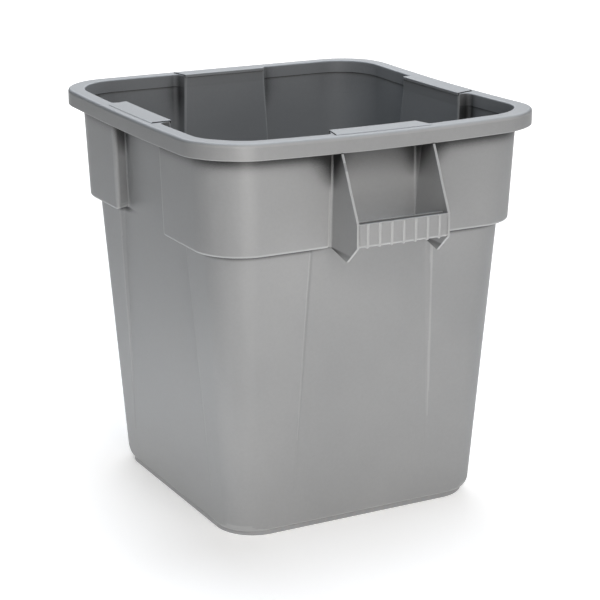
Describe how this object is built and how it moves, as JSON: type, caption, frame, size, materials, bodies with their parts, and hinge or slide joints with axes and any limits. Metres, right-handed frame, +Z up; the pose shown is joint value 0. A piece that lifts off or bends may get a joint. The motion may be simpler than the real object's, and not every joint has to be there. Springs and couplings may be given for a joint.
{
  "type": "square utility waste bin",
  "caption": "Square tapered plastic waste bin with a deep overhanging rim, stepped shoulders at the corners, sunk side panels and ribbed grab handles on opposite sides.",
  "frame": {"origin": "centre of the flat ring that the bin stands on, at floor level", "axes": "+Z up out of the mouth; -Y is the front handle side, +Y the rear handle side, X across the plain sides"},
  "size_m": [0.538, 0.628, 0.5825],
  "materials": {
    "grey_plastic": "satin moulded polyethylene, fine grain"
  },
  "bodies": {
    "root": {"foot_ring": "grey_plastic", "base_pan": "grey_plastic", "front_panel": "grey_plastic", "rear_panel": "grey_plastic", "left_panel": "grey_plastic", "right_panel": "grey_plastic", "corner_wall_front_left": "grey_plastic", "corner_wall_front_right": "grey_plastic", "corner_wall_rear_left": "grey_plastic", "corner_wall_rear_right": "grey_plastic", "shoulder_front_left": "grey_plastic", "shoulder_front_right": "grey_plastic", "shoulder_rear_left": "grey_plastic", "shoulder_rear_right": "grey_plastic", "rim": "grey_plastic", "rim_pad_front": "grey_plastic", "rim_pad_rear": "grey_plastic", "rim_pad_left": "grey_plastic", "rim_pad_right": "grey_plastic", "front_handle_left_plate": "grey_plastic", "front_handle_right_plate": "grey_plastic", "front_handle_grip": "grey_plastic", "rear_handle_left_plate": "grey_plastic", "rear_handle_right_plate": "grey_plastic", "rear_handle_grip": "grey_plastic"}
  },
  "joints": []
}
